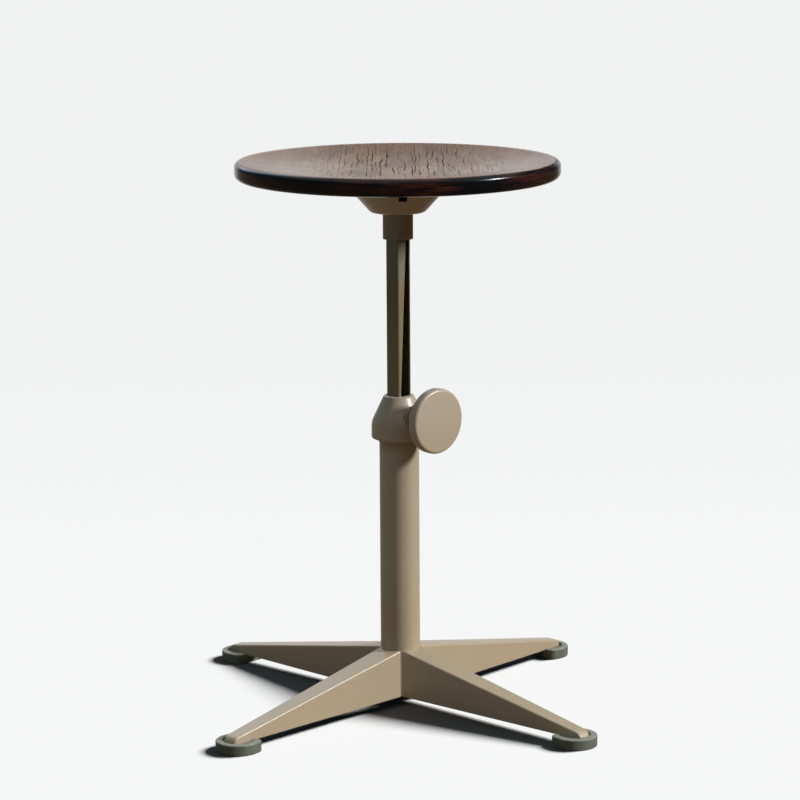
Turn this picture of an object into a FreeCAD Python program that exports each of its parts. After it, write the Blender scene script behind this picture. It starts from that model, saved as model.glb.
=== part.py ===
# Machinist stool: a dished wooden seat that turns on a stem, a stem that slides in a column and is
# held by a clamp knob, and a four-legged base of folded sheet steel on soft shoes.
# Millimetres, +Z up. The origin is on the floor, on the axis of the column. The legs lie on the
# diagonals between the X and Y axes, and the clamp knob points to the front right, between +X and -Y.
import FreeCAD
import Part
import math
import os

os.makedirs("parts", exist_ok=True)

# Base: legs of folded sheet
leg_count = 4
leg_angle = 45.0            # the first leg's direction, from -Y towards +X
leg_width_hub = 31.2        # outside width, measured at the column's axis
leg_width_tip = 17.0        # outside width at the tip
leg_reach = 272.0           # from the axis to the tip's end
leg_height_hub = 56.5       # from the lower edge to the ridge, measured at the axis
leg_height_tip = 6.6        # from the lower edge to the line of the ridge, at the tip
leg_sheet = 2.5
leg_bend = 2.0              # outside radius of the long bends
leg_nose_sunk = 0.5         # the curve that turns the top down would end this far below the lower edge
leg_nose_corner = 5.0       # upright corners of the tip
foot_plate_length = 21.0
foot_plate_thickness = 3.0
foot_plate_setback = 8.0    # from the tip's end to the plate

# Shoes
shoe_radius = 24.5
shoe_setback = 14.5         # from the tip's end back to the centre of the shoe's round end
shoe_arm_length = 17.0
shoe_arm_half_width = 22.0
shoe_arm_corner = 8.0       # upright outer corners at the arms' ends
shoe_height = 12.0
shoe_lip_height = 2.0
shoe_lip_width = 7.0
shoe_mouth_gap = 0.5        # beside the leg, where it leaves the shoe
shoe_top_round = 1.6
shoe_bottom_round = 1.0
shoe_mouth_cut = 1.0        # the recess runs out this far beyond the arms' ends
shoe_screw_radius = 2.5
shoe_screw_head_radius = 5.0
shoe_screw_head_height = 2.5
shoe_screw_head_round = 1.2
shoe_screw_sunk = 2.5       # the head lies this far up in the shoe
shoe_screw_setback = 18.0   # from the tip's end

# Column
column_radius = 22.25
column_wall = 2.5
column_length = 289.5
column_lift = 1.0           # the tube ends this far above the legs' lower edge
base_plug_thickness = 3.0

# Clamp head: a bell-shaped casting on top of the column
head_radius = 31.0
head_height = 48.5          # from the underside of the bell to its top
head_straight = 11.0        # upright stretch of the skirt, above its rounded lower edge
head_shoulder_radius = 25.0
head_shoulder_angle = 25.5  # slope of the shoulder, from upright
head_top_round = 3.0
head_skirt_round = 2.0
head_neck_radius = 23.0
head_neck_height = 4.5
head_neck_round = 2.5
head_spigot_length = 22.0
clamp_drop = 21.5           # from the top of the head down to the clamp screw's axis
clamp_azimuth = 41.0        # direction of the clamp screw, from -Y towards +X
spotface_radius = 14.5
spotface_reach = 22.5       # from the axis to the machined flat

# Clamp screw, pressure pad and knob
screw_radius = 5.0
screw_nose_radius = 3.5
screw_nose_length = 2.9
pad_side = 18.0
pad_thickness = 4.0
pad_socket_depth = 2.5
pad_travel_room = 2.4       # free depth behind the pad in its pocket
pad_gap = 0.10
neck_radius = 10.6
neck_flange_radius = 13.2
neck_flange_thickness = 1.8
neck_flange_gap = 1.9       # from the machined flat to the flange, with the clamp tight
neck_length = 29.2          # flange and neck together
neck_spigot_radius = 8.0
knob_radius = 36.4
knob_thickness = 11.5
knob_dome = 1.0
knob_front_round = 3.5
knob_back_round = 2.5
knob_pin_radius = 1.5
knob_pin_inset = 1.0        # the pin's ends lie this far below the neck's surface

# Stem: folded channel with one tapered lip
stem_side = 20.0
stem_wall = 2.0
stem_corner = 2.5
stem_length = 326.5
stem_exposed = 176.0        # from the head's top to the collar, in the pose of the photograph
stem_slot_wide_at = 123.0   # from the lower end up to where the lip starts to widen
stem_lip_low = 2.5          # width of the lip below that height
stem_lip_top = 12.5         # width of the lip at the upper end
stem_far_lip = 2.5          # width of the plain edge across the slot
guide_thickness = 10.0
guide_spigot_length = 26.0
guide_spigot_corner = 1.0
guide_pin_radius = 2.0
guide_pin_height = 13.0     # from the stem's lower end

# Pivot at the top of the stem
collar_radius = 16.85
collar_wall = 2.65
collar_length = 28.0
collar_overlap = 1.0        # the collar covers this much of the stem
pivot_socket_depth = 20.5
plug_boss_radius = 6.5
plug_boss_length = 19.5     # the boss hangs this far down in the stem
bush_wall = 1.9
spindle_radius = 9.0
spindle_end_gap = 1.0
washer_thickness = 1.5
washer_inset = 0.85
pivot_bolt_radius = 4.0
pivot_bolt_head_width = 13.0
pivot_bolt_head_height = 5.3
pivot_bolt_thread = 25.0    # length in the plug
bolt_washer_radius = 10.5
bolt_washer_thickness = 1.6

# Seat bracket: a pressed bowl with a flange
bowl_depth = 38.0           # from the seat's underside to the bowl's outer bottom
bowl_sheet = 2.5
bowl_floor_radius = 30.0
bowl_flare = 42.3           # slope of the wall, from upright
bowl_flange_radius = 86.0
bowl_floor_round = 6.0
bowl_flange_round = 3.0
notch_width = 9.4
notch_bottom = 17.0         # from the bowl's outer bottom up to the notch
notch_height = 12.0
notch_azimuth = 5.0         # from -Y towards +X

# Seat
seat_radius = 180.0
seat_thickness = 19.5
seat_dish_depth = 8.0
seat_rim_width = 12.0
seat_top_round = 6.0
seat_bottom_round = 7.0
seat_screw_count = 4
seat_screw_circle = 74.0
seat_screw_radius = 2.25
seat_screw_depth = 9.0
seat_screw_head_radius = 4.6
seat_screw_head_height = 2.6
seat_screw_head_round = 1.5

# Clearances
running_fit = 0.06          # between sliding and turning pieces, at each side
snug_fit = 0.03             # between pieces that are pressed or screwed together
seat_float = 0.10           # between the bowl and the washer that it turns on
deep = 500.0                # length of a cutter that passes right through
over = 1.0                  # a cutter starts and ends this far outside what it cuts

# Heights that follow from the sizes above
leg_bottom = shoe_height - shoe_lip_height
leg_top_axis = leg_bottom + leg_height_hub
leg_slope = math.atan2(leg_height_hub - leg_height_tip, leg_reach)
leg_nose_radius = (leg_height_tip + leg_nose_sunk) * math.tan(math.pi / 4 + leg_slope / 2)
column_bottom = leg_bottom + column_lift
column_top = column_bottom + column_length
column_bore = column_radius - column_wall
head_bottom = column_top + head_neck_height
head_top = head_bottom + head_height
head_spigot_bottom = column_top - head_spigot_length
clamp_height = head_top - clamp_drop
collar_bottom = head_top + stem_exposed
collar_top = collar_bottom + collar_length
stem_top = collar_bottom + collar_overlap
stem_bottom = stem_top - stem_length
collar_bore = collar_radius - collar_wall
bowl_bottom = collar_top + washer_thickness + seat_float
seat_bottom = bowl_bottom + bowl_depth
seat_top = seat_bottom + seat_thickness
up = FreeCAD.Vector(0, 0, 1)
origin = FreeCAD.Vector(0, 0, 0)


def point(x, y, z=0.0):
    return FreeCAD.Vector(x, y, z)


def disc(radius, low, high, x=0.0, y=0.0):
    return Part.makeCylinder(radius, high - low, point(x, y, low), up)


def ring(outer, inner, low, high):
    return disc(outer, low, high).cut(disc(inner, low - over, high + over))


def bar_along_front(radius, near, far, height):
    """A round bar along -Y, from near to far, with its axis at a height."""
    return Part.makeCylinder(radius, far - near, point(0, -near, height), point(0, -1, 0))


def block(width, depth, low, high, x=0.0, y=0.0):
    return Part.makeBox(width, depth, high - low, point(x - width / 2, y - depth / 2, low))


def turned(outline):
    """Revolve edges that lie in the XZ plane about Z."""
    face = Part.Face(Part.Wire(Part.__sortEdges__(outline)))
    return face.revolve(origin, up, 360)


def lines(points, closed=True):
    ends = points + points[:1] if closed else points
    return [Part.LineSegment(a, b).toShape() for a, b in zip(ends[:-1], ends[1:])]


def arc(start, middle, end):
    return Part.Arc(start, middle, end).toShape()


def prism(points, low, high):
    raised = [point(p.x, p.y, low) for p in points]
    return Part.Face(Part.Wire(lines(raised))).extrude(up * (high - low))


def round_edges(shape, radius, chosen):
    return shape.makeFillet(radius, [edge for edge in shape.Edges if chosen(edge)])


def upright(edge):
    first, last = edge.Vertexes[0].Point, edge.Vertexes[-1].Point
    return math.hypot(last.x - first.x, last.y - first.y) < 1e-6 and abs(last.z - first.z) > 1e-6


def circle_at(height, radius=None):
    """Picks the round edges at one height, of one radius where it is given."""
    def chosen(edge):
        box = edge.BoundBox
        flat = box.ZLength < 1e-6 and abs(box.ZMin - height) < 1e-6
        return flat and (radius is None or abs(box.XMax - radius) < 1e-4)
    return chosen


def rim_at(height):
    """Picks every level edge at one height."""
    def chosen(edge):
        return edge.BoundBox.ZLength < 1e-6 and abs(edge.BoundBox.ZMin - height) < 1e-6
    return chosen


def square_bar(side, corner, low, high):
    return round_edges(block(side, side, low, high), corner, upright)


def turn(shape, azimuth):
    """Turn about Z, so that what points to -Y points to an azimuth towards +X."""
    turned_shape = shape.copy()
    turned_shape.rotate(origin, up, azimuth)
    return turned_shape


def save(name, shape):
    shape.exportStep("parts/" + name + ".step")


def leg_half_width(reach):
    """Half the leg's outside width, at a distance from the axis."""
    return (leg_width_hub + (leg_width_tip - leg_width_hub) * reach / leg_reach) / 2


def leg_solid(inset):
    """The leg's filled form along +X, drawn in by inset on its sides, top and tip."""
    reach = leg_reach - inset
    hub_half = leg_half_width(0.0) - inset
    tip_half = leg_half_width(reach) - inset
    low = leg_bottom - (over if inset else 0.0)
    plan = prism([point(0, -hub_half), point(reach, -tip_half), point(reach, tip_half),
                  point(0, hub_half)], low, leg_top_axis)
    plan = round_edges(plan, leg_nose_corner - inset,
                       lambda edge: upright(edge) and edge.Vertexes[0].X > leg_reach / 2)
    ridge = leg_top_axis - inset / math.cos(leg_slope)
    corner = ridge - reach * math.tan(leg_slope)
    radius = leg_nose_radius - inset
    run = radius / math.tan(math.pi / 4 + leg_slope / 2)
    start = point(reach - run * math.cos(leg_slope), 0, corner + run * math.sin(leg_slope))
    end = point(reach, 0, corner - run)
    half = (math.pi / 2 - leg_slope) / 2
    middle = end + point(-radius + radius * math.cos(half), 0, radius * math.sin(half))
    side = lines([end, point(reach, 0, low - over), point(0, 0, low - over), point(0, 0, ridge), start],
                 False)
    side.append(arc(start, middle, end))
    face = Part.Face(Part.Wire(Part.__sortEdges__(side)))
    face.translate(point(0, -leg_width_hub, 0))
    return plan.common(face.extrude(point(0, 2 * leg_width_hub, 0)))


def leg():
    """A folded trough, open below, mitred to its neighbours and coped to the column."""
    outer = leg_solid(0.0)

    def long_bend(edge):
        first, last = edge.Vertexes[0].Point, edge.Vertexes[-1].Point
        long = first.distanceToPoint(last) > leg_reach / 2
        raised = min(first.z, last.z) > leg_bottom + leg_sheet
        return long and raised and abs(first.y) > leg_sheet

    outer = round_edges(outer, leg_bend, long_bend)
    shell = outer.cut(leg_solid(leg_sheet))
    sector = prism([point(0, 0), point(leg_reach * 2, -leg_reach * 2), point(leg_reach * 2, leg_reach * 2)],
                   0, leg_top_axis + over)
    shell = shell.common(sector)
    return shell.cut(disc(column_radius, 0, column_top))


def foot_plate():
    """Closes the leg's end from below, between its walls, and takes the shoe's screw."""
    far = leg_reach - foot_plate_setback
    near = far - foot_plate_length
    far_half = leg_half_width(far) - leg_sheet
    near_half = leg_half_width(near) - leg_sheet
    plate = prism([point(near, -near_half), point(far, -far_half), point(far, far_half),
                   point(near, near_half)], leg_bottom, leg_bottom + foot_plate_thickness)
    return plate.cut(disc(shoe_screw_radius + snug_fit, 0, leg_top_axis, leg_reach - shoe_screw_setback))


def horseshoe(radius, near, half):
    """A plan face with a round end, and two straight sides that run in to half its width at near."""
    centre = leg_reach - shoe_setback
    back = near - centre
    angle = math.atan2(half, back) - math.acos(radius / math.hypot(half, back))
    side_x = centre + radius * math.cos(angle)
    side_y = radius * math.sin(angle)
    edges = [arc(point(side_x, side_y), point(centre + radius, 0), point(side_x, -side_y))]
    edges += lines([point(side_x, -side_y), point(near, -half), point(near, half), point(side_x, side_y)],
                   False)
    return Part.Face(Part.Wire(Part.__sortEdges__(edges)))


def shoe():
    """A moulded horseshoe: the leg's tip stands on its floor, inside a raised lip."""
    near = leg_reach - shoe_setback - shoe_arm_length
    solid = horseshoe(shoe_radius, near, shoe_arm_half_width).extrude(up * shoe_height)
    solid = round_edges(solid, shoe_arm_corner,
                        lambda edge: upright(edge) and abs(edge.Vertexes[0].X - near) < shoe_mouth_cut)
    solid = round_edges(solid, shoe_top_round, rim_at(shoe_height))
    solid = round_edges(solid, shoe_bottom_round, rim_at(0.0))
    mouth = near - shoe_mouth_cut
    recess = horseshoe(shoe_radius - shoe_lip_width, mouth, leg_half_width(mouth) + shoe_mouth_gap)
    recess = recess.extrude(up * shoe_height)
    recess.translate(point(0, 0, leg_bottom))
    solid = solid.cut(recess)
    hole_x = leg_reach - shoe_screw_setback
    head_top_height = shoe_screw_sunk + shoe_screw_head_height
    solid = solid.cut(disc(shoe_screw_radius + snug_fit, -over, shoe_height, hole_x))
    return solid.cut(disc(shoe_screw_head_radius + running_fit, -over, head_top_height, hole_x))


def shoe_screw():
    """A pan-headed screw, sunk in the shoe from below, that ends in the foot plate."""
    x = leg_reach - shoe_screw_setback
    head = disc(shoe_screw_head_radius, shoe_screw_sunk, shoe_screw_sunk + shoe_screw_head_height, x)
    head = round_edges(head, shoe_screw_head_round, rim_at(shoe_screw_sunk))
    shank = disc(shoe_screw_radius, shoe_screw_sunk + shoe_screw_head_height,
                 leg_bottom + foot_plate_thickness, x)
    return head.fuse(shank).removeSplitter()


def column():
    return ring(column_radius, column_bore, column_bottom, column_top)


def base_plug():
    return disc(column_bore - snug_fit, column_bottom, column_bottom + base_plug_thickness)


def head_bell():
    """The casting's outside: spigot, neck, skirt and sloping shoulder, turned about the axis."""
    angle = math.radians(head_shoulder_angle)
    skirt_top = head_bottom + head_skirt_round + head_straight
    shoulder = point(head_radius - head_shoulder_radius * (1 - math.cos(angle)), 0,
                     skirt_top + head_shoulder_radius * math.sin(angle))
    half = point(head_radius - head_shoulder_radius * (1 - math.cos(angle / 2)), 0,
                 skirt_top + head_shoulder_radius * math.sin(angle / 2))
    crown = shoulder.x - (head_top - shoulder.z) * math.tan(angle)
    skirt = point(head_radius, 0, skirt_top)
    spigot = column_bore - snug_fit
    outline = lines([shoulder, point(crown, 0, head_top), point(0, 0, head_top),
                     point(0, 0, head_spigot_bottom), point(spigot, 0, head_spigot_bottom),
                     point(spigot, 0, column_top), point(head_neck_radius, 0, column_top),
                     point(head_neck_radius, 0, head_bottom), point(head_radius, 0, head_bottom), skirt],
                    False)
    outline.append(arc(skirt, half, shoulder))
    bell = turned(outline)
    bell = round_edges(bell, head_top_round, circle_at(head_top))
    bell = round_edges(bell, head_skirt_round, circle_at(head_bottom, head_radius))
    return round_edges(bell, head_neck_round, circle_at(head_bottom, head_neck_radius))


def head():
    """The bell with its square bore, the pad's pocket, the screw's hole and the machined flat."""
    bore_half = stem_side / 2 + running_fit
    body = head_bell()
    body = body.cut(square_bar(2 * bore_half, stem_corner, head_spigot_bottom - over,
                               head_top + over))
    pocket_reach = stem_side / 2 + pad_gap + pad_thickness + pad_travel_room
    pocket_half = pad_side / 2 + running_fit
    body = body.cut(block(2 * pocket_half, pocket_reach, clamp_height - pocket_half,
                          clamp_height + pocket_half, y=-pocket_reach / 2))
    body = body.cut(bar_along_front(screw_radius + running_fit, 0, head_radius + over, clamp_height))
    flat = bar_along_front(spotface_radius, spotface_reach, head_radius + over, clamp_height)
    return turn(body.cut(flat), clamp_azimuth)


def pad_face():
    return stem_side / 2 + pad_gap


def pressure_pad():
    """A square pad that bridges the stem's slot, with a socket for the screw's nose."""
    back = pad_face() + pad_thickness
    pad = block(pad_side, pad_thickness, clamp_height - pad_side / 2, clamp_height + pad_side / 2,
                y=-(pad_face() + back) / 2)
    socket = bar_along_front(screw_nose_radius + running_fit, back - pad_socket_depth, back + over,
                             clamp_height)
    return turn(pad.cut(socket), clamp_azimuth)


def flange_start():
    return spotface_reach + neck_flange_gap


def knob_start():
    return flange_start() + neck_length


def screw_end():
    return knob_start() + knob_thickness / 2


def clamp_screw():
    """The screw: a nose in the pad, a shank in the head and an end held in the knob's neck."""
    nose_start = pad_face() + pad_thickness - pad_socket_depth + pad_gap
    nose = bar_along_front(screw_nose_radius, nose_start, nose_start + screw_nose_length, clamp_height)
    shank = bar_along_front(screw_radius, nose_start + screw_nose_length, screw_end(), clamp_height)
    screw = nose.fuse(shank).removeSplitter().cut(knob_pin_hole())
    return turn(screw, clamp_azimuth)


def knob_pin_place():
    return flange_start() + neck_length / 2


def knob_pin_hole():
    radius = knob_pin_radius + snug_fit
    return Part.makeCylinder(radius, 2 * deep, point(0, -knob_pin_place(), clamp_height - deep), up)


def knob_pin():
    """A pin across the neck that holds the screw."""
    low = clamp_height - neck_radius + knob_pin_inset
    pin = Part.makeCylinder(knob_pin_radius, 2 * (clamp_height - low), point(0, -knob_pin_place(), low), up)
    return turn(pin, clamp_azimuth)


def knob_neck():
    """The turned sleeve between head and knob: a thin flange, a plain neck and a spigot."""
    flange = bar_along_front(neck_flange_radius, flange_start(), flange_start() + neck_flange_thickness,
                             clamp_height)
    neck = bar_along_front(neck_radius, flange_start(), knob_start(), clamp_height)
    spigot = bar_along_front(neck_spigot_radius, knob_start() - over, screw_end() + snug_fit, clamp_height)
    sleeve = flange.fuse(neck).fuse(spigot).removeSplitter()
    sleeve = sleeve.cut(bar_along_front(screw_radius + snug_fit, 0, deep, clamp_height))
    return turn(sleeve.cut(knob_pin_hole()), clamp_azimuth)


def knob():
    """A thick turned disc with rounded edges and a slightly domed face."""
    flat = knob_radius - knob_front_round
    front = knob_thickness
    slope = math.atan2(2 * knob_dome, flat)
    dome_radius = flat / math.sin(slope)
    crown = arc(point(0, 0, front + knob_dome),
                point(dome_radius * math.sin(slope / 2), 0,
                      front + knob_dome - dome_radius * (1 - math.cos(slope / 2))),
                point(flat, 0, front))
    corner = knob_front_round * math.sqrt(0.5)
    edge = arc(point(flat, 0, front), point(flat + corner, 0, front - knob_front_round + corner),
               point(knob_radius, 0, front - knob_front_round))
    outline = [crown, edge]
    outline += lines([point(knob_radius, 0, front - knob_front_round), point(knob_radius, 0, 0),
                      point(0, 0, 0), point(0, 0, front + knob_dome)], False)
    body = turned(outline)
    body = round_edges(body, knob_back_round, circle_at(0.0))
    body = body.cut(disc(neck_spigot_radius + snug_fit, -over, knob_thickness / 2 + 2 * snug_fit))
    body.rotate(origin, point(1, 0, 0), 90)
    body.translate(point(0, -knob_start(), clamp_height))
    return turn(body, clamp_azimuth)


def stem():
    """A folded square channel, with a slot in its front face that one tapered lip narrows upwards."""
    outer = square_bar(stem_side, stem_corner, stem_bottom, stem_top)
    inner = square_bar(stem_side - 2 * stem_wall, stem_corner - stem_wall, stem_bottom - over,
                       stem_top + over)
    left = -stem_side / 2
    right = stem_side / 2 - stem_far_lip
    bend = stem_bottom + stem_slot_wide_at
    slot_outline = [point(left + stem_lip_low, 0, stem_bottom - over), point(left + stem_lip_low, 0, bend),
                    point(left + stem_lip_top, 0, stem_top), point(left + stem_lip_top, 0, stem_top + over),
                    point(right, 0, stem_top + over), point(right, 0, stem_bottom - over)]
    slot = Part.Face(Part.Wire(lines(slot_outline))).extrude(point(0, -stem_side, 0))
    channel = outer.cut(inner).cut(slot)
    pin = Part.makeCylinder(guide_pin_radius + snug_fit, 2 * stem_side,
                            point(-stem_side, 0, stem_bottom + guide_pin_height), point(1, 0, 0))
    return turn(channel.cut(pin), clamp_azimuth)


def stem_guide():
    """The moulded guide on the stem's lower end: a disc that runs in the column, and a square spigot."""
    rim = disc(column_bore - running_fit, stem_bottom - guide_thickness, stem_bottom)
    side = stem_side - 2 * stem_wall - 2 * snug_fit
    spigot = square_bar(side, guide_spigot_corner, stem_bottom - over, stem_bottom + guide_spigot_length)
    pin = Part.makeCylinder(guide_pin_radius + snug_fit, 2 * stem_side,
                            point(-stem_side, 0, stem_bottom + guide_pin_height), point(1, 0, 0))
    return turn(rim.fuse(spigot).cut(pin), clamp_azimuth)


def guide_pin():
    """A pin through the stem's side walls and the guide."""
    length = stem_side - 2 * snug_fit
    pin = Part.makeCylinder(guide_pin_radius, length,
                            point(-length / 2, 0, stem_bottom + guide_pin_height), point(1, 0, 0))
    return turn(pin, clamp_azimuth)


def collar():
    return ring(collar_radius, collar_bore, collar_bottom, collar_top)


def pivot_plug():
    """The turned plug on the stem's end: a round boss for the bolt and a socket for the bush."""
    body = disc(collar_bore - snug_fit, stem_top, collar_top)
    boss = disc(plug_boss_radius, stem_top - plug_boss_length, stem_top + over)
    socket_floor = collar_top - pivot_socket_depth
    plug = body.fuse(boss).removeSplitter()
    plug = plug.cut(disc(spindle_radius + running_fit + bush_wall + snug_fit, socket_floor, collar_top + over))
    return plug.cut(disc(pivot_bolt_radius + snug_fit, socket_floor - pivot_bolt_thread - over,
                         socket_floor + over))


def pivot_bush():
    bore = spindle_radius + running_fit
    return ring(bore + bush_wall, bore, collar_top - pivot_socket_depth, collar_top)


def thrust_washer():
    bore = spindle_radius + running_fit
    return ring(collar_radius - washer_inset, bore, collar_top, collar_top + washer_thickness)


def spindle_top():
    return bowl_bottom + bowl_sheet


def spindle():
    """The seat's turning spindle, welded in the bowl's floor."""
    low = collar_top - pivot_socket_depth + spindle_end_gap
    return ring(spindle_radius, pivot_bolt_radius + running_fit, low, spindle_top())


def bolt_washer():
    low = spindle_top() + seat_float
    return ring(bolt_washer_radius, pivot_bolt_radius + snug_fit, low, low + bolt_washer_thickness)


def pivot_bolt():
    """A hexagon bolt from inside the bowl, through the spindle, into the plug."""
    seat = spindle_top() + seat_float + bolt_washer_thickness
    corner = pivot_bolt_head_width / math.sqrt(3)
    corners = [point(corner * math.cos(math.radians(60 * i)), corner * math.sin(math.radians(60 * i)))
               for i in range(6)]
    bolt = prism(corners, seat, seat + pivot_bolt_head_height)
    shank = disc(pivot_bolt_radius, collar_top - pivot_socket_depth - pivot_bolt_thread, seat + over)
    return bolt.fuse(shank).removeSplitter()


def seat_bracket():
    """A bowl pressed from sheet, with a flange under the seat and a notch that lets a spanner in."""
    angle = math.radians(bowl_flare)
    rise = bowl_depth - bowl_sheet
    top_radius = bowl_floor_radius + rise * math.tan(angle)
    step = bowl_sheet * math.tan(math.pi / 4 - angle / 2)
    lean = bowl_sheet / math.cos(angle)
    hole = spindle_radius + snug_fit
    inner_floor = bowl_floor_radius - step
    inner_top = inner_floor + (seat_bottom - bowl_bottom - bowl_sheet) * math.tan(angle)
    outline = lines([point(hole, 0, bowl_bottom), point(bowl_floor_radius, 0, bowl_bottom),
                     point(top_radius, 0, seat_bottom - bowl_sheet),
                     point(bowl_flange_radius, 0, seat_bottom - bowl_sheet),
                     point(bowl_flange_radius, 0, seat_bottom), point(inner_top, 0, seat_bottom),
                     point(inner_floor, 0, bowl_bottom + bowl_sheet), point(hole, 0, bowl_bottom + bowl_sheet)])
    bowl = turned(outline)
    bowl = round_edges(bowl, bowl_floor_round, circle_at(bowl_bottom, bowl_floor_radius))
    bowl = round_edges(bowl, bowl_floor_round - bowl_sheet, circle_at(bowl_bottom + bowl_sheet, inner_floor))
    bowl = round_edges(bowl, bowl_flange_round, circle_at(seat_bottom - bowl_sheet, top_radius))
    bowl = round_edges(bowl, bowl_flange_round + lean / 2, circle_at(seat_bottom, inner_top))
    notch = block(notch_width, bowl_flange_radius, bowl_bottom + notch_bottom,
                  bowl_bottom + notch_bottom + notch_height, y=-bowl_flange_radius / 2)
    bowl = bowl.cut(turn(notch, notch_azimuth))
    return bowl.cut(group(seat_screw_holes()))


def screw_places():
    step = 360.0 / seat_screw_count
    angles = [math.radians(step * (i + 0.5) + notch_azimuth) for i in range(seat_screw_count)]
    return [(seat_screw_circle * math.cos(a), seat_screw_circle * math.sin(a)) for a in angles]


def seat_screw_holes():
    radius = seat_screw_radius + snug_fit
    return [disc(radius, seat_bottom - 2 * bowl_sheet, seat_bottom + seat_screw_depth, x, y)
            for x, y in screw_places()]


def group(solids):
    return Part.makeCompound(solids)


def seat_screws():
    """Round-headed wood screws, up through the bracket's flange into the seat."""
    solids = []
    for x, y in screw_places():
        under = seat_bottom - bowl_sheet
        head_disc = disc(seat_screw_head_radius, under - seat_screw_head_height, under, x, y)
        head_disc = round_edges(head_disc, seat_screw_head_round, rim_at(under - seat_screw_head_height))
        shank = disc(seat_screw_radius, under, seat_bottom + seat_screw_depth, x, y)
        solids.append(head_disc.fuse(shank).removeSplitter())
    return group(solids)


def seat():
    """A round wooden seat with a shallow dish, a level rim and rounded edges."""
    dish = seat_radius - seat_rim_width
    sphere = (dish ** 2 + seat_dish_depth ** 2) / (2 * seat_dish_depth)
    half = math.asin(dish / sphere) / 2
    centre = seat_top - seat_dish_depth + sphere
    outline = [arc(point(0, 0, seat_top - seat_dish_depth),
                   point(sphere * math.sin(half), 0, centre - sphere * math.cos(half)),
                   point(dish, 0, seat_top))]
    outline += lines([point(dish, 0, seat_top), point(seat_radius, 0, seat_top),
                      point(seat_radius, 0, seat_bottom), point(0, 0, seat_bottom),
                      point(0, 0, seat_top - seat_dish_depth)], False)
    body = turned(outline)
    body = round_edges(body, seat_top_round, circle_at(seat_top, seat_radius))
    body = round_edges(body, seat_bottom_round, circle_at(seat_bottom))
    return body.cut(group(seat_screw_holes()))


def around(shape, place):
    """A copy of a piece that was drawn along +X, turned to one leg's direction."""
    return turn(shape, leg_angle - 90.0 + place * 360.0 / leg_count)


leg_names = ["front_right", "back_right", "back_left", "front_left"]
one_leg = leg()
one_plate = foot_plate()
one_shoe = shoe()
for number, side_name in enumerate(leg_names):
    save("leg_" + side_name, around(one_leg, number))
    save("foot_plate_" + side_name, around(one_plate, number))
    save("shoe_" + side_name, around(one_shoe, number))
save("shoe_screws", group([around(shoe_screw(), number) for number in range(leg_count)]))
save("column", column())
save("base_plug", base_plug())
save("clamp_head", head())
save("pressure_pad", pressure_pad())
save("clamp_screw", clamp_screw())
save("knob_neck", knob_neck())
save("knob_pin", knob_pin())
save("clamp_knob", knob())
save("stem", stem())
save("stem_guide", stem_guide())
save("guide_pin", guide_pin())
save("collar", collar())
save("pivot_plug", pivot_plug())
save("pivot_bush", pivot_bush())
save("thrust_washer", thrust_washer())
save("spindle", spindle())
save("bolt_washer", bolt_washer())
save("pivot_bolt", pivot_bolt())
save("seat_bracket", seat_bracket())
save("seat_screws", seat_screws())
save("seat", seat())
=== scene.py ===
# A machinist stool, dressed from the floor up: shoes, legs, column, clamp, stem, pivot, seat bracket,
# seat, and then the studio that it stands in.
import math

import bpy
from mathutils import Matrix, Vector


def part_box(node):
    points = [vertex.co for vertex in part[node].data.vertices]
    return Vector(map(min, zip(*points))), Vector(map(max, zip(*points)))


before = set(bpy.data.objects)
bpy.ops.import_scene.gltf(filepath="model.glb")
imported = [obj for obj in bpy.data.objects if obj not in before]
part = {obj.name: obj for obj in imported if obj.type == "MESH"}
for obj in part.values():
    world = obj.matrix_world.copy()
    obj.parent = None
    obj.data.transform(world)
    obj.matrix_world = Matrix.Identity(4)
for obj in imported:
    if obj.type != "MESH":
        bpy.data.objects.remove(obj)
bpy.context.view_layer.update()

# Shoes: four horseshoes, compression moulded in a hard grey-green rubber, each pushed on the end of a
# leg and held by a screw from below. Their upper edges are painted paler: a painted highlight where they
# face up.
MM = 0.001
shoe_names = ["shoe_front_right", "shoe_back_right", "shoe_back_left", "shoe_front_left"]
shoe_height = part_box("shoe_front_right")[1][2]
shoe_lit_edge_depth = 1.5 * MM
rubber_grit = 0.9 * MM
rubber_cloud = 14 * MM


def linear(hex_colour):
    """An sRGB hex colour as linear red, green, blue and alpha."""
    parts = [int(hex_colour[i:i + 2], 16) / 255 for i in (1, 3, 5)]
    return [p / 12.92 if p <= 0.04045 else ((p + 0.055) / 1.055) ** 2.4 for p in parts] + [1.0]


def feed(tree, node, inputs):
    """Fills a node's inputs, by name or place, with values, sockets or other nodes' first enabled output."""
    for key, value in inputs.items():
        if isinstance(value, bpy.types.Node):
            value = next(output for output in value.outputs if output.enabled)
        if isinstance(value, bpy.types.NodeSocket):
            tree.links.new(value, node.inputs[key])
        else:
            node.inputs[key].default_value = value


def add(tree, kind, inputs=None, **settings):
    """Adds a node, with settings as its properties, and fills its inputs."""
    node = tree.nodes.new("ShaderNode" + kind)
    for name, value in settings.items():
        setattr(node, name, value)
    feed(tree, node, inputs or {})
    return node


def start(name):
    """A new material, its tree, its shader and the place of each point in metres."""
    material = bpy.data.materials.new(name)
    material.use_nodes = True
    tree = material.node_tree
    return material, tree, tree.nodes["Principled BSDF"], add(tree, "TexCoord").outputs["Object"]


def finish_with(names, material):
    """Gives these pieces the material."""
    for name in names:
        for material_slot in part[name].material_slots:
            material_slot.material = material


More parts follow.
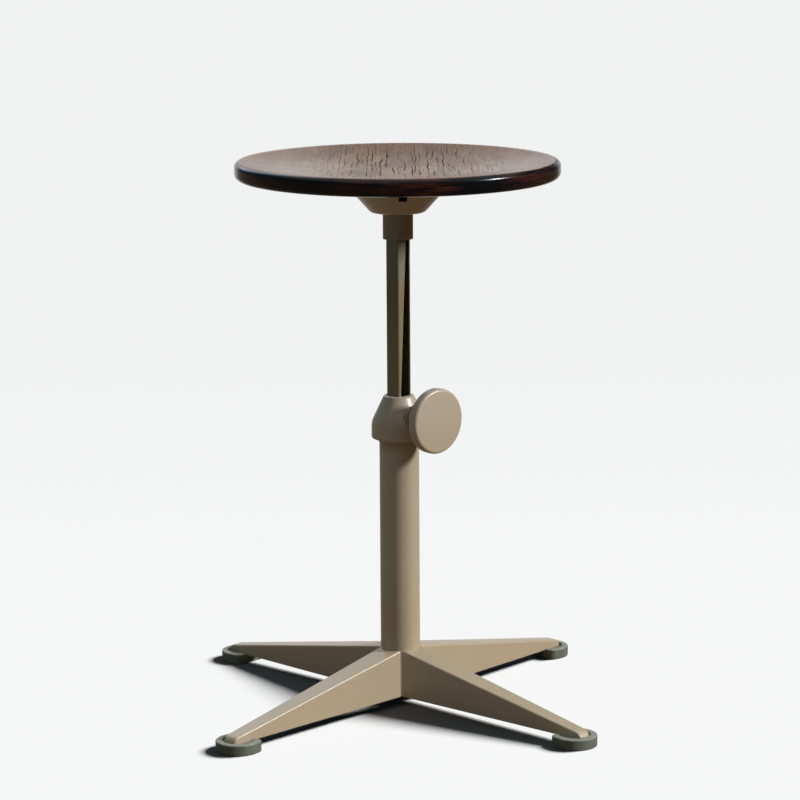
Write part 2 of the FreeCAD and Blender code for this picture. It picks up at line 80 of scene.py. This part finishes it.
# Moulded rubber: a matt, slightly mottled grey-green with fine grit pressed into it.
moulded_rubber, tree, shader, place = start("moulded_rubber")
cloud = add(tree, "TexNoise", {"Vector": place, "Scale": 1 / rubber_cloud, "Detail": 5.0})
grit = add(tree, "TexNoise", {"Vector": place, "Scale": 1 / rubber_grit, "Detail": 2.0})
tone = add(tree, "Mix", {"Factor": cloud, "A": linear("#484D44"), "B": linear("#6C7165")}, data_type="RGBA")
speck = add(tree, "MapRange", {"Value": grit, "From Min": 0.62, "From Max": 0.75})
tone = add(tree, "Mix", {"Factor": speck, "A": tone, "B": linear("#8E9285")}, data_type="RGBA")
height = add(tree, "SeparateXYZ", {"Vector": place}).outputs["Z"]
# Painted highlight: the top millimetre and a half of each shoe is painted paler, where the lip faces up.
lit_edge = add(tree, "MapRange", {"Value": height, "From Min": shoe_height - shoe_lit_edge_depth,
                              "From Max": shoe_height, "To Max": 0.55})
tone = add(tree, "Mix", {"Factor": lit_edge, "A": tone, "B": linear("#9A9C8E")}, data_type="RGBA")
grain = add(tree, "Bump", {"Strength": 0.35, "Distance": 0.15 * MM, "Height": grit})
feed(tree, shader, {"Base Color": tone, "Roughness": 0.52, "Specular IOR Level": 0.4, "Normal": grain})
finish_with(shoe_names, moulded_rubber)

# Shoe screws, foot plates and the plate under the column: steel with a thin plating of zinc, which is
# pale grey with fine upright scratches, and dulled in clouds by handling.
zinc_cloud = 9 * MM
zinc_scratch = 0.5 * MM
scratch_squeeze = 0.08
zinc_plated_steel, tree, shader, place = start("zinc_plated_steel")
cloud = add(tree, "TexNoise", {"Vector": place, "Scale": 1 / zinc_cloud, "Detail": 6.0})
tone = add(tree, "Mix", {"Factor": cloud, "A": linear("#8B8C8A"), "B": linear("#C6C6C0")}, data_type="RGBA")
matt = add(tree, "MapRange", {"Value": cloud, "To Min": 0.26, "To Max": 0.48})
stretch = add(tree, "Mapping", {"Vector": place, "Scale": (1.0, 1.0, scratch_squeeze)})
scratch = add(tree, "TexNoise", {"Vector": stretch, "Scale": 1 / zinc_scratch})
grain = add(tree, "Bump", {"Strength": 0.15, "Distance": 0.05 * MM, "Height": scratch})
feed(tree, shader, {"Base Color": tone, "Roughness": matt, "Metallic": 1.0, "Normal": grain})
finish_with(["shoe_screws", "base_plug", "foot_plate_front_right", "foot_plate_back_right",
             "foot_plate_back_left", "foot_plate_front_left"], zinc_plated_steel)

# Legs, column and clamp head: sheet, tube and casting, welded together and sprayed with one coat of
# stove enamel. The coat is smooth and half-glossy, with a faint orange-peel, and yellower low down.
leg_names = ["leg_front_right", "leg_back_right", "leg_back_left", "leg_front_left"]
enamel_cloud = 70 * MM
enamel_fleck = 2.4 * MM
enamel_peel = 3.2 * MM
yellow_top = 340 * MM
yellow_bottom = 100 * MM


def orange_peel(tree, place):
    """The faint dimples that spraying leaves in enamel, as a normal."""
    peel = add(tree, "TexNoise", {"Vector": place, "Scale": 1 / enamel_peel, "Detail": 1.0})
    return add(tree, "Bump", {"Strength": 0.25, "Distance": 0.06 * MM, "Height": peel})


stove_enamel, tree, shader, place = start("stove_enamel")
cloud = add(tree, "TexNoise", {"Vector": place, "Scale": 1 / enamel_cloud, "Detail": 4.0})
fleck = add(tree, "TexNoise", {"Vector": place, "Scale": 1 / enamel_fleck, "Detail": 3.0})
tone = add(tree, "Mix", {"Factor": cloud, "A": linear("#A0937E"), "B": linear("#A99D8B")}, data_type="RGBA")
height = add(tree, "SeparateXYZ", {"Vector": place}).outputs["Z"]
low = add(tree, "MapRange", {"Value": height, "From Min": yellow_top, "From Max": yellow_bottom})
yellowed = add(tree, "Mix", {"Factor": cloud, "A": linear("#A19077"), "B": linear("#A99A82")},
               data_type="RGBA")
tone = add(tree, "Mix", {"Factor": low, "A": tone, "B": yellowed}, data_type="RGBA")
fleck_mask = add(tree, "MapRange", {"Value": fleck, "From Min": 0.64, "From Max": 0.8, "To Max": 0.35})
tone = add(tree, "Mix", {"Factor": fleck_mask, "A": tone, "B": linear("#8A7D69")}, data_type="RGBA")
matt = add(tree, "MapRange", {"Value": cloud, "To Min": 0.36, "To Max": 0.46})
grain = orange_peel(tree, place)
feed(tree, shader, {"Base Color": tone, "Roughness": matt, "Coat Weight": 0.2, "Coat Roughness": 0.24,
                    "Normal": grain})
finish_with(leg_names + ["column", "clamp_head"], stove_enamel)

# Clamp: a turned steel knob and neck in the same enamel, on a plated screw that drives a brass pad
# against the stem.
finish_with(["clamp_knob", "knob_neck"], stove_enamel)
finish_with(["clamp_screw", "knob_pin"], zinc_plated_steel)

# Machined brass: a warm yellow metal, clouded brown by tarnish.
brass_cloud = 6 * MM
machined_brass, tree, shader, place = start("machined_brass")
cloud = add(tree, "TexNoise", {"Vector": place, "Scale": 1 / brass_cloud, "Detail": 5.0})
tone = add(tree, "Mix", {"Factor": cloud, "A": linear("#8C6B35"), "B": linear("#C9A45C")}, data_type="RGBA")
matt = add(tree, "MapRange", {"Value": cloud, "To Min": 0.22, "To Max": 0.42})
feed(tree, shader, {"Base Color": tone, "Roughness": matt, "Metallic": 1.0})
finish_with(["pressure_pad", "pivot_bush"], machined_brass)

# Stem: a channel folded from sheet, enamelled outside only in a darker olive. Its top, which seldom goes
# down into the greased casting, has stayed greyer. Inside it is bare steel, black with old oil; its dark
# colour is also painted shade for the deep channel.
stem_half_inside = 8.1 * MM
stem_turn = math.radians(41.0)
stem_grey_length = 47 * MM
stem_grey_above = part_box("collar")[0][2] - stem_grey_length
stem_grey_edge = 0.5 * MM
stem_enamel, tree, shader, place = start("stem_enamel")
cloud = add(tree, "TexNoise", {"Vector": place, "Scale": 1 / enamel_cloud, "Detail": 4.0})
greased = add(tree, "Mix", {"Factor": cloud, "A": linear("#736A4B"), "B": linear("#7C7356")},
              data_type="RGBA")
clean = add(tree, "Mix", {"Factor": cloud, "A": linear("#70705B"), "B": linear("#787967")}, data_type="RGBA")
height = add(tree, "SeparateXYZ", {"Vector": place}).outputs["Z"]
grey_top = add(tree, "MapRange", {"Value": height, "From Min": stem_grey_above - stem_grey_edge,
                                  "From Max": stem_grey_above + stem_grey_edge})
outside = add(tree, "Mix", {"Factor": grey_top, "A": greased, "B": clean}, data_type="RGBA")
across = add(tree, "VectorRotate", {"Vector": place, "Angle": -stem_turn}, rotation_type="Z_AXIS")
spread = add(tree, "VectorMath", {0: across}, operation="ABSOLUTE")
spread = add(tree, "SeparateXYZ", {"Vector": spread})
widest = add(tree, "Math", {0: spread.outputs["X"], 1: spread.outputs["Y"]}, operation="MAXIMUM")
inside = add(tree, "Math", {0: widest, 1: stem_half_inside}, operation="LESS_THAN")
# Painted shade: the inside of the channel is painted dark, for oily steel and for the shade in it.
tone = add(tree, "Mix", {"Factor": inside, "A": outside, "B": linear("#4A4836")}, data_type="RGBA")
matt = add(tree, "MapRange", {"Value": inside, "To Min": 0.4, "To Max": 0.75})
grain = orange_peel(tree, place)
feed(tree, shader, {"Base Color": tone, "Roughness": matt, "Normal": grain})
finish_with(["stem"], stem_enamel)

# Guide and thrust washer: natural nylon, which is milky and slightly yellow, with a grey film of grease.
# A pin holds the guide on the stem's lower end, and the washer lies on the collar.
nylon_cloud = 11 * MM
natural_nylon, tree, shader, place = start("natural_nylon")
cloud = add(tree, "TexNoise", {"Vector": place, "Scale": 1 / nylon_cloud, "Detail": 5.0})
tone = add(tree, "Mix", {"Factor": cloud, "A": linear("#8F8B7C"), "B": linear("#D8D3C0")}, data_type="RGBA")
feed(tree, shader, {"Base Color": tone, "Roughness": 0.45, "Subsurface Weight": 0.1,
                    "Subsurface Scale": 2 * MM})
finish_with(["stem_guide", "thrust_washer"], natural_nylon)

# Pivot: a collar of steel tube round the plug, bush and spindle, and a hexagon bolt inside the bowl. The
# collar's enamel is painted a darker, greyer green than the legs': painted shade, for the cool shade that it
# stands in under the seat. It is half-glossy and rubbed by hands.
collar_enamel_in_painted_shade, tree, shader, place = start("collar_enamel_in_painted_shade")
cloud = add(tree, "TexNoise", {"Vector": place, "Scale": 1 / enamel_cloud, "Detail": 4.0})
# Painted shade: a darker, greyer green for the collar, which stands in the seat's shade.
tone = add(tree, "Mix", {"Factor": cloud, "A": linear("#85837A"), "B": linear("#8B8A81")}, data_type="RGBA")
matt = add(tree, "MapRange", {"Value": cloud, "To Min": 0.34, "To Max": 0.44})
grain = orange_peel(tree, place)
feed(tree, shader, {"Base Color": tone, "Roughness": matt, "Normal": grain})
finish_with(["collar"], collar_enamel_in_painted_shade)

# Blackened steel: the plug's skin of oxide is nearly black, with a dull shine. Its black is also painted
# shade, for the shade inside the stem where the plug shows through the slot.
oxide_cloud = 5 * MM
blackened_steel_and_slot_shade, tree, shader, place = start("blackened_steel_and_slot_shade")
cloud = add(tree, "TexNoise", {"Vector": place, "Scale": 1 / oxide_cloud, "Detail": 5.0})
tone = add(tree, "Mix", {"Factor": cloud, "A": linear("#0D0D0C"), "B": linear("#23211E")}, data_type="RGBA")
matt = add(tree, "MapRange", {"Value": cloud, "To Min": 0.35, "To Max": 0.6})
feed(tree, shader, {"Base Color": tone, "Roughness": matt, "Metallic": 0.6})
finish_with(["pivot_plug"], blackened_steel_and_slot_shade)
finish_with(["spindle", "bolt_washer", "pivot_bolt", "guide_pin"], zinc_plated_steel)

# Seat bracket: a bowl pressed from sheet steel and enamelled like the legs. Four plated wood screws hold
# it to the seat through its flange.
finish_with(["seat_bracket"], stove_enamel)
finish_with(["seat_screws"], zinc_plated_steel)

# Seat: moulded plywood with a dark rosewood veneer under a glossy lacquer. Use has worn the lacquer thin
# on the dish, where it has opened into thin wavy checks along the grain, front to back. The rim, turned
# and lacquered nearly black, shows reddish streaks of the plies.
grain_turn = math.radians(1.95)
lacquered_plywood, tree, shader, place = start("lacquered_plywood")
place = add(tree, "VectorRotate", {"Vector": place, "Angle": grain_turn}, rotation_type="Z_AXIS")
where = add(tree, "SeparateXYZ", {"Vector": place})

# How far the surface faces up or down tells the rim from the two faces.
rim_facing = 0.955
face_facing = 0.985
facing = add(tree, "NewGeometry").outputs["Normal"]
facing = add(tree, "SeparateXYZ", {"Vector": facing}).outputs["Z"]
top = add(tree, "MapRange", {"Value": facing, "From Min": rim_facing, "From Max": face_facing})
flat = add(tree, "Math", {0: facing}, operation="ABSOLUTE")
flat = add(tree, "MapRange", {"Value": flat, "From Min": rim_facing, "From Max": face_facing})

# The grain runs front to back and wavers to the sides by a millimetre or two.
wave_width = 18 * MM
wave_length = 46 * MM
wave_height = 8 * MM
wave = add(tree, "VectorMath", {0: place, 1: (1 / wave_width, 1 / wave_length, 0.0)}, operation="MULTIPLY")
wave = add(tree, "TexNoise", {"Vector": wave, "Scale": 1.0, "Detail": 3.0, "Roughness": 0.6})
across = add(tree, "Math", {0: wave, 1: wave_height, 2: where.outputs["X"]}, operation="MULTIPLY_ADD")
along = add(tree, "CombineXYZ", {"X": across, "Y": where.outputs["Y"]})

# Checks: each is an uneven dark line, open over a part of its length only, and most lie near the middle.
check_spacing = 6.0 * MM
check_width = 2.0 * MM
check_length = 110 * MM
check_centre = 12 * MM
check_reach = 92 * MM
check_most_within = check_reach * 0.55
check_none_beyond = check_reach * 1.15
check_inner_radius = 105 * MM
check_outer_radius = 165 * MM
check_least_gap = 0.0001
check = add(tree, "Math", {0: across, 1: check_spacing}, operation="DIVIDE")
check = add(tree, "TexVoronoi", {"W": check, "Scale": 1.0}, feature="DISTANCE_TO_EDGE",
            voronoi_dimensions="1D")
open_at = add(tree, "VectorMath", {0: along, 1: (0.9 / check_spacing, 1 / check_length, 0.0)},
              operation="MULTIPLY")
open_at = add(tree, "TexNoise", {"Vector": open_at, "Scale": 1.0, "Detail": 2.0})
open_at = add(tree, "MapRange", {"Value": open_at, "From Min": 0.44, "From Max": 0.62})
off_centre = add(tree, "Math", {0: where.outputs["X"], 1: check_centre}, operation="SUBTRACT")
off_centre = add(tree, "Math", {0: off_centre}, operation="ABSOLUTE")
near_middle = add(tree, "MapRange", {"Value": off_centre, "From Min": check_most_within,
                                     "From Max": check_none_beyond, "To Min": 1.0, "To Max": 0.0})
from_axis = add(tree, "VectorMath", {0: place, 1: (1.0, 1.0, 0.0)}, operation="MULTIPLY")
from_axis = add(tree, "VectorMath", {0: from_axis}, operation="LENGTH")
inner = add(tree, "MapRange", {"Value": from_axis, "From Min": check_inner_radius,
                               "From Max": check_outer_radius, "To Min": 1.0, "To Max": 0.15})
gap = add(tree, "Math", {0: open_at, 1: near_middle}, operation="MULTIPLY")
gap = add(tree, "Math", {0: gap, 1: inner}, operation="MULTIPLY")
gap = add(tree, "Math", {0: gap, 1: check_width / check_spacing / 2, 2: check_least_gap},
          operation="MULTIPLY_ADD")
check = add(tree, "Math", {0: check, 1: gap}, operation="DIVIDE")
check = add(tree, "MapRange", {"Value": check, "From Min": 0.5, "From Max": 1.0, "To Min": 1.0,
                               "To Max": 0.0})
check = add(tree, "Math", {0: check, 1: top}, operation="MULTIPLY")

# Fine checks and pores between them, which fade out towards the sides.
fine_spacing = 2.3 * MM
fine_width = 5 * MM
fine_length = 34 * MM
fine_faint_beyond = check_reach * 1.6
fine = add(tree, "Math", {0: across, 1: fine_spacing}, operation="DIVIDE")
fine = add(tree, "TexVoronoi", {"W": fine, "Scale": 1.0}, feature="DISTANCE_TO_EDGE",
           voronoi_dimensions="1D")
fine = add(tree, "MapRange", {"Value": fine, "From Min": 0.02, "From Max": 0.2, "To Min": 1.0,
                              "To Max": 0.0})
fine_at = add(tree, "VectorMath", {0: along, 1: (1 / fine_width, 1 / fine_length, 0.0)},
              operation="MULTIPLY")
fine_at = add(tree, "TexNoise", {"Vector": fine_at, "Scale": 1.0, "Detail": 2.0})
fine_at = add(tree, "MapRange", {"Value": fine_at, "From Min": 0.42, "From Max": 0.62})
fine = add(tree, "Math", {0: fine, 1: fine_at}, operation="MULTIPLY")
fading = add(tree, "MapRange", {"Value": off_centre, "From Min": check_reach, "From Max": fine_faint_beyond,
                                "To Min": 0.85, "To Max": 0.1})
fine = add(tree, "Math", {0: fine, 1: fading}, operation="MULTIPLY")
fine = add(tree, "Math", {0: fine, 1: flat}, operation="MULTIPLY")

# Veneer: bands of brown along the grain.
band_width = 26 * MM
band_length = band_width * 6
fine_darkening = 0.75
bands = add(tree, "VectorMath", {0: along, 1: (1 / band_width, 1 / band_length, 0.0)}, operation="MULTIPLY")
bands = add(tree, "TexNoise", {"Vector": bands, "Scale": 1.0, "Detail": 5.0})
bands = add(tree, "MapRange", {"Value": bands, "From Min": 0.34, "From Max": 0.68})
face = add(tree, "Mix", {"Factor": bands, "A": linear("#583820"), "B": linear("#805A3A")}, data_type="RGBA")
fine_ink = add(tree, "Math", {0: fine, 1: fine_darkening}, operation="MULTIPLY")
face = add(tree, "Mix", {"Factor": fine_ink, "A": face, "B": linear("#2A130B")}, data_type="RGBA")

# Rim: black lacquer, with streaks of reddish brown that follow the plies round. They come in patches, and
# are painted strongest a little to the right of the middle, where the key light falls: painted light.
ply = 3.0 * MM
ply_streak = 45 * MM
streak_patch = 120 * MM
streak_patch_shift = (0.37, 0.11, 0.0)
key_lit_red_centre = 45 * MM
key_lit_red_within = 65 * MM
key_lit_red_beyond = 130 * MM
streaks = add(tree, "VectorMath", {0: place, 1: (1 / ply_streak, 1 / ply_streak, 1 / ply)},
              operation="MULTIPLY")
streaks = add(tree, "TexNoise", {"Vector": streaks, "Scale": 1.0, "Detail": 5.0})
streaks = add(tree, "MapRange", {"Value": streaks, "From Min": 0.42, "From Max": 0.66})
reddish = add(tree, "VectorMath", {0: place, 1: streak_patch_shift}, operation="ADD")
reddish = add(tree, "TexNoise", {"Vector": reddish, "Scale": 1 / streak_patch, "Detail": 2.0})
reddish = add(tree, "MapRange", {"Value": reddish, "From Min": 0.38, "From Max": 0.58})
# Painted light: the streaks are painted strongest right of the middle, where the key light falls on the rim,
# and faint at the left.
key_lit_red = add(tree, "Math", {0: where.outputs["X"], 1: key_lit_red_centre}, operation="SUBTRACT")
key_lit_red = add(tree, "Math", {0: key_lit_red}, operation="ABSOLUTE")
key_lit_red = add(tree, "MapRange", {"Value": key_lit_red, "From Min": key_lit_red_within, "From Max": key_lit_red_beyond,
                                "To Min": 1.0, "To Max": 0.2})
reddish = add(tree, "Math", {0: reddish, 1: key_lit_red}, operation="MULTIPLY")
streaks = add(tree, "Math", {0: streaks, 1: reddish}, operation="MULTIPLY")
rim = add(tree, "Mix", {"Factor": streaks, "A": linear("#070B10"), "B": linear("#54281C")},
          data_type="RGBA")

# Finish: the lacquer is smooth on the rim and unevenly dulled by wear on the top. A check has no gloss.
wear_patch = 90 * MM
fine_wear = 0.18
middle_wear = 0.05
shine_least_within = 50 * MM
shine_most_beyond = 140 * MM
rim_roughness = 0.2
rim_shine = 0.2
check_to_fine_depth = 3.0
tone = add(tree, "Mix", {"Factor": flat, "A": rim, "B": face}, data_type="RGBA")
tone = add(tree, "Mix", {"Factor": check, "A": tone, "B": linear("#050403")}, data_type="RGBA")
wear = add(tree, "TexNoise", {"Vector": place, "Scale": 1 / wear_patch, "Detail": 4.0})
wear = add(tree, "MapRange", {"Value": wear, "From Min": 0.35, "From Max": 0.7, "To Min": 0.19,
                              "To Max": 0.26})
wear = add(tree, "Math", {0: fine, 1: fine_wear, 2: wear}, operation="MULTIPLY_ADD")
wear = add(tree, "Math", {0: near_middle, 1: middle_wear, 2: wear}, operation="MULTIPLY_ADD")
matt = add(tree, "Mix", {"Factor": flat, "A": rim_roughness, "B": wear}, data_type="FLOAT")
shine = add(tree, "MapRange", {"Value": off_centre, "From Min": shine_least_within,
                               "From Max": shine_most_beyond, "To Min": 0.24, "To Max": 0.42})
dull = add(tree, "MapRange", {"Value": fine, "To Min": 1.0, "To Max": 0.5})
shine = add(tree, "Math", {0: shine, 1: dull}, operation="MULTIPLY")
shine = add(tree, "Mix", {"Factor": flat, "A": rim_shine, "B": shine}, data_type="FLOAT")
unbroken = add(tree, "Math", {0: 1.0, 1: check}, operation="SUBTRACT")
shine = add(tree, "Math", {0: shine, 1: unbroken}, operation="MULTIPLY")
relief = add(tree, "Math", {0: check, 1: check_to_fine_depth, 2: fine}, operation="MULTIPLY_ADD")
grain = add(tree, "Bump", {"Strength": 0.3, "Distance": 0.1 * MM, "Height": relief}, invert=True)
feed(tree, shader, {"Base Color": tone, "Roughness": matt, "Specular IOR Level": shine, "Normal": grain})
finish_with(["seat"], lacquered_plywood)

# Studio: a wide floor of matt paper, lit so strongly by a lamp of its own that it looks white to the
# camera, and keeps the soft shadows of the legs. To the stool it is a dim warm surface that throws little
# light up.
floor_half = 30.0
far_floor = 2.4
bounce_left = -0.5
bounce_right = 0.5
mesh = bpy.data.meshes.new("floor")
corners = [(-floor_half, -floor_half, 0), (floor_half, -floor_half, 0), (floor_half, floor_half, 0),
           (-floor_half, floor_half, 0)]
mesh.from_pydata(corners, [], [(0, 1, 2, 3)])
floor = bpy.data.objects.new("floor", mesh)
bpy.context.scene.collection.objects.link(floor)


def seen_as_backdrop(tree, towards):
    """1 for rays from the camera or through glass, and for reflections of the low part behind the stool."""
    # In unit vectors: it fades 20 to 31 degrees away from straight back, and 8 to 22 degrees up.
    path = add(tree, "LightPath")
    behind = add(tree, "VectorMath", {0: towards}, operation="NORMALIZE")
    behind = add(tree, "SeparateXYZ", {"Vector": behind})
    depth = add(tree, "MapRange", {"Value": behind.outputs["Y"], "From Min": 0.86, "From Max": 0.94})
    low = add(tree, "MapRange", {"Value": behind.outputs["Z"], "From Min": 0.14, "From Max": 0.38,
                                 "To Min": 1.0, "To Max": 0.0})
    mirrored = add(tree, "Math", {0: depth, 1: low}, operation="MULTIPLY")
    mirrored = add(tree, "Math", {0: path.outputs["Is Glossy Ray"], 1: mirrored}, operation="MULTIPLY")
    seen = add(tree, "Math", {0: path.outputs["Is Camera Ray"], 1: path.outputs["Is Transmission Ray"]},
               operation="MAXIMUM")
    return add(tree, "Math", {0: seen, 1: mirrored}, operation="MAXIMUM")


floor_paper, tree, shader, place = start("floor_paper")
seen = seen_as_backdrop(tree, place)
where = add(tree, "SeparateXYZ", {"Vector": place})
# Painted falloff of light: the paper is painted a little darker far back, as if the lamp's light faded
# there.
away = add(tree, "MapRange", {"Value": where.outputs["Y"], "From Max": far_floor})
paper = add(tree, "Mix", {"Factor": away, "A": linear("#737373"), "B": linear("#707070")}, data_type="RGBA")
sideways = add(tree, "MapRange", {"Value": where.outputs["X"], "From Min": bounce_left,
                                  "From Max": bounce_right})
bounce = add(tree, "Mix", {"Factor": sideways, "A": linear("#3B3329"), "B": linear("#312415")},
             data_type="RGBA")
tone = add(tree, "Mix", {"Factor": seen, "A": bounce, "B": paper}, data_type="RGBA")
feed(tree, shader, {"Base Color": tone, "Roughness": 1.0, "Specular IOR Level": 0.0})
mesh.materials.append(floor_paper)

# The room: a dim soft dome, a cool wall at the left and a nearly white backdrop behind the stool.
# The dome is brightest straight above.
dome_glow = 0.35
dome_tightness = 4.0
wall_start = 0.2
wall_full = -0.9
room = bpy.data.worlds.new("room")
bpy.context.scene.world = room
room.use_nodes = True
tree = room.node_tree
tree.nodes.clear()
towards = add(tree, "TexCoord").outputs["Generated"]
parts = add(tree, "SeparateXYZ", {"Vector": towards})
rise = add(tree, "Math", {0: parts.outputs["Z"], 1: 0.0}, operation="MAXIMUM")
rise = add(tree, "Math", {0: rise, 1: dome_tightness}, operation="POWER")
left = add(tree, "MapRange", {"Value": parts.outputs["X"], "From Min": wall_start, "From Max": wall_full})
wall = add(tree, "Mix", {"Factor": left, "A": linear("#272727"), "B": linear("#4C6C78")}, data_type="RGBA")
glow = add(tree, "VectorMath", {0: rise, 1: [dome_glow] * 3, 2: wall}, operation="MULTIPLY_ADD")
dome = add(tree, "Background", {"Color": glow, "Strength": 1.0})
backdrop = add(tree, "Background", {"Color": linear("#F0F1F1"), "Strength": 1.0})
seen = seen_as_backdrop(tree, towards)
room_light = add(tree, "MixShader", {0: seen, 1: dome, 2: backdrop})
add(tree, "OutputWorld", {"Surface": room_light})

# The stool's own lamps: a low key at the right, a large soft box overhead and a faint cool one at the back
# left. They light the stool only. The front right leg and its shoe throw no shadow from the key.


def sun(name, azimuth, rise, spread, energy):
    """A far lamp. Azimuth runs from the front towards the right, and spread is its apparent width."""
    lamp = bpy.data.objects.new(name, bpy.data.lights.new(name, "SUN"))
    bpy.context.scene.collection.objects.link(lamp)
    lamp.data.energy = energy
    lamp.data.angle = math.radians(spread)
    turn, lift = math.radians(azimuth), math.radians(rise)
    place = Vector((math.sin(turn) * math.cos(lift), -math.cos(turn) * math.cos(lift), math.sin(lift)))
    lamp.rotation_mode = "QUATERNION"
    lamp.rotation_quaternion = place.to_track_quat("Z", "Y")
    return lamp


def group(name, pieces):
    """A collection of pieces, for a lamp to light or to throw the shadows of."""
    collection = bpy.data.collections.new(name)
    for piece in pieces:
        collection.objects.link(piece)
    return collection


lit = group("lit_by_lamps", part.values())
key = sun("key", azimuth=76, rise=26, spread=9, energy=3.9)
overhead = sun("overhead", azimuth=0, rise=90, spread=100, energy=1.1)
back_left = sun("back_left", azimuth=-156, rise=29, spread=34, energy=0.52)
back_left.data.color = linear("#E9F2FF")[:3]
for lamp in (key, overhead, back_left):
    lamp.light_linking.receiver_collection = lit
shading = [piece for name, piece in part.items() if name not in ("leg_front_right", "shoe_front_right")]
key.light_linking.blocker_collection = group("shades_key", shading)

# The floor's lamp: wide, from the right and slightly behind. It lights the floor only, and only what is
# near the floor throws its shadow.
floor_lamp = sun("floor_lamp", azimuth=108, rise=36, spread=22, energy=28.2)
floor_lamp.light_linking.receiver_collection = group("lit_by_floor_lamp", [floor])
shading = [part[name] for name in shoe_names + leg_names + ["base_plug"]]
floor_lamp.light_linking.blocker_collection = group("shades_floor_lamp", shading)

# Camera: 1 m above the floor, 3.4 m away and a little to the left, looking slightly down.
camera_azimuth = math.radians(-1.95)
camera_distance = 3.443
camera_height = 1.0128
camera_pitch = math.radians(10.92)
camera_roll = math.radians(-0.35)
camera_place = Vector((camera_distance * math.sin(camera_azimuth),
                       -camera_distance * math.cos(camera_azimuth), camera_height))
camera = bpy.data.objects.new("camera", bpy.data.cameras.new("camera"))
bpy.context.scene.collection.objects.link(camera)
camera.data.sensor_width = 36.0
camera.data.lens = 141.2
camera.data.shift_x = 0.0013
camera.data.shift_y = -0.0012
camera.data.clip_start = 0.1
camera.data.clip_end = 100.0
camera.matrix_world = (Matrix.Translation(camera_place) @ Matrix.Rotation(camera_azimuth, 4, "Z")
                       @ Matrix.Rotation(math.pi / 2 - camera_pitch, 4, "X")
                       @ Matrix.Rotation(camera_roll, 4, "Z"))
bpy.context.scene.camera = camera
bpy.context.scene.view_settings.view_transform = "Standard"
